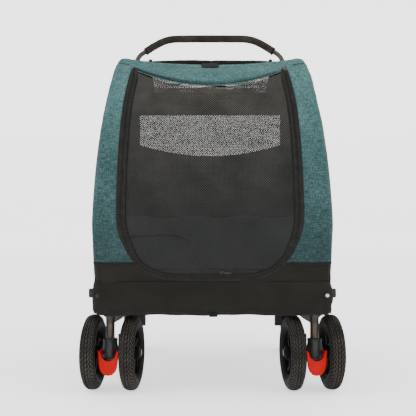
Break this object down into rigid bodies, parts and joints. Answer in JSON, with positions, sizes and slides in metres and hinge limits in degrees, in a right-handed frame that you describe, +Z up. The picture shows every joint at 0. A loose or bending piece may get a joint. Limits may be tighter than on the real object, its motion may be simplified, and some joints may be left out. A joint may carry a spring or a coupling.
{
  "type": "pet stroller",
  "caption": "Pet stroller with a soft cabin, roll-up mesh door, folding tube frame, twin-wheel swivel casters with red brake pedals and a telescopic handle.",
  "frame": {"origin": "centre of the bounding box on the floor, where the wheels rest", "axes": "+Z up, -Y the front with the mesh door and casters, +X to the viewer's right when facing the door"},
  "size_m": [0.6556, 0.9093, 1.0533],
  "materials": {
    "tyre": "moulded rubber tread",
    "rim": "moulded black plastic",
    "steel": "zinc plated",
    "pedal_red": "moulded red plastic",
    "black_plastic": "fine textured",
    "frame_tube": "dark bronze powder coat",
    "handle_tube": "black powder coat",
    "board": "fibreboard",
    "mat": "quilted slate fabric",
    "bag_black": "coated black canvas",
    "mesh": "open polyester mesh",
    "webbing": "woven black webbing",
    "fabric_teal": "heathered teal oxford cloth",
    "foam": "closed-cell foam"
  },
  "bodies": {
    "base": {"bag_screws": "steel", "bow_hinge_left": "black_plastic", "bow_hinge_right": "black_plastic", "cabin_rear": "fabric_teal", "cabin_roof": "fabric_teal", "cabin_side_left": "fabric_teal", "cabin_side_right": "fabric_teal", "floor_board": "board", "floor_mat": "mat", "floor_slats": "frame_tube", "front_cross_tube": "frame_tube", "front_leg_left": "frame_tube", "front_leg_right": "frame_tube", "leash": "webbing", "leash_hook": "steel", "rear_axles": "steel", "rear_cross_tube": "frame_tube", "rear_leg_left": "frame_tube", "rear_leg_right": "frame_tube", "rear_upright_left": "frame_tube", "rear_upright_right": "frame_tube", "side_rail_left": "frame_tube", "side_rail_right": "frame_tube", "skirt_front": "bag_black", "skirt_left": "bag_black", "skirt_rear": "bag_black", "skirt_right": "bag_black"},
    "caster_left": {"caster_housing_left": "black_plastic", "caster_axle_left": "steel"},
    "wheel_left_outer": {"front_left_outer_tyre": "tyre", "front_left_outer_rim": "rim"},
    "wheel_left_inner": {"front_left_inner_tyre": "tyre", "front_left_inner_rim": "rim"},
    "pedal_left": {"brake_pedal_left": "pedal_red"},
    "lock_left": {"swivel_lock_left": "black_plastic"},
    "rear_wheel_left": {"rear_left_tyre": "tyre", "rear_left_rim": "rim"},
    "caster_right": {"caster_housing_right": "black_plastic", "caster_axle_right": "steel"},
    "wheel_right_outer": {"front_right_outer_tyre": "tyre", "front_right_outer_rim": "rim"},
    "wheel_right_inner": {"front_right_inner_tyre": "tyre", "front_right_inner_rim": "rim"},
    "pedal_right": {"brake_pedal_right": "pedal_red"},
    "lock_right": {"swivel_lock_right": "black_plastic"},
    "rear_wheel_right": {"rear_right_tyre": "tyre", "rear_right_rim": "rim"},
    "front_bow": {"front_pole_left": "handle_tube", "front_pole_right": "handle_tube", "front_panel_left": "fabric_teal", "front_panel_right": "fabric_teal", "front_panel_top": "fabric_teal"},
    "door": {"door_panel": "mesh"},
    "zip_pull": {"zip_pull": "black_plastic"},
    "handle_frame": {"handle_sleeve_left": "handle_tube", "handle_sleeve_right": "handle_tube"},
    "handle_slider": {"handle_bar": "handle_tube", "handle_grip": "foam"},
    "button_left": {"release_button_left": "black_plastic"},
    "button_right": {"release_button_right": "black_plastic"}
  },
  "joints": [
    {"name": "caster_swivel_left", "type": "hinge", "parent": "base", "child": "caster_left", "pos_m": [-0.255, -0.3845, 0.11], "axis": [0, 0, 1], "continuous": true},
    {"name": "wheel_spin_left_outer", "type": "hinge", "parent": "caster_left", "child": "wheel_left_outer", "pos_m": [-0.3006, -0.34954, 0.095], "axis": [0.9945, -0.1045, 0], "continuous": true},
    {"name": "wheel_spin_left_inner", "type": "hinge", "parent": "caster_left", "child": "wheel_left_inner", "pos_m": [-0.20313, -0.35979, 0.095], "axis": [0.9945, -0.1045, 0], "continuous": true},
    {"name": "brake_left", "type": "hinge", "parent": "caster_left", "child": "pedal_left", "pos_m": [-0.25563, -0.39047, 0.101], "axis": [-0.9945, 0.1045, 0], "range_deg": [0, 15]},
    {"name": "swivel_lock_left", "type": "hinge", "parent": "caster_left", "child": "lock_left", "pos_m": [-0.23113, -0.38701, 0.114], "axis": [-0.9945, 0.1045, 0], "range_deg": [0, 30]},
    {"name": "rear_wheel_spin_left", "type": "hinge", "parent": "base", "child": "rear_wheel_left", "pos_m": [-0.252, 0.2555, 0.095], "axis": [1, 0, 0], "continuous": true},
    {"name": "caster_swivel_right", "type": "hinge", "parent": "base", "child": "caster_right", "pos_m": [0.255, -0.3845, 0.11], "axis": [0, 0, 1], "continuous": true},
    {"name": "wheel_spin_right_outer", "type": "hinge", "parent": "caster_right", "child": "wheel_right_outer", "pos_m": [0.3006, -0.34954, 0.095], "axis": [0.9945, 0.1045, 0], "continuous": true},
    {"name": "wheel_spin_right_inner", "type": "hinge", "parent": "caster_right", "child": "wheel_right_inner", "pos_m": [0.20313, -0.35979, 0.095], "axis": [0.9945, 0.1045, 0], "continuous": true},
    {"name": "brake_right", "type": "hinge", "parent": "caster_right", "child": "pedal_right", "pos_m": [0.25563, -0.39047, 0.101], "axis": [-0.9945, -0.1045, 0], "range_deg": [0, 15]},
    {"name": "swivel_lock_right", "type": "hinge", "parent": "caster_right", "child": "lock_right", "pos_m": [0.23113, -0.38701, 0.114], "axis": [-0.9945, -0.1045, 0], "range_deg": [0, 30]},
    {"name": "rear_wheel_spin_right", "type": "hinge", "parent": "base", "child": "rear_wheel_right", "pos_m": [0.252, 0.2555, 0.095], "axis": [1, 0, 0], "continuous": true},
    {"name": "frame_fold", "type": "hinge", "parent": "base", "child": "front_bow", "pos_m": [0, -0.3795, 0.247], "axis": [-1, 0, 0], "range_deg": [0, 70], "deforming": ["cabin_side_left", "cabin_side_right", "cabin_rear", "cabin_roof"]},
    {"name": "door_lift", "type": "hinge", "parent": "front_bow", "child": "door", "pos_m": [0, -0.2245, 0.838], "axis": [-1, 0, 0], "range_deg": [0, 100], "deforming": ["door_panel"]},
    {"name": "zip_pull_swing", "type": "hinge", "parent": "front_bow", "child": "zip_pull", "pos_m": [0.196, -0.223, 0.8435], "axis": [-1, 0, 0], "range_deg": [0, 60]},
    {"name": "handle_fold", "type": "hinge", "parent": "base", "child": "handle_frame", "pos_m": [0, 0.3505, 0.52], "axis": [1, 0, 0], "range_deg": [0, 98]},
    {"name": "handle_telescope", "type": "slide", "parent": "handle_frame", "child": "handle_slider", "axis": [0, -0.1736, -0.9848], "range_m": [0, 0.11]},
    {"name": "release_left", "type": "slide", "parent": "handle_frame", "child": "button_left", "axis": [-1, 0, 0], "range_m": [0, 0.002], "stiffness_N_per_m": 800},
    {"name": "release_right", "type": "slide", "parent": "handle_frame", "child": "button_right", "axis": [1, 0, 0], "range_m": [0, 0.002], "stiffness_N_per_m": 800}
  ],
  "couplings": [
    {"joint": "handle_fold", "follows": "frame_fold", "ratio": 1.4}
  ]
}
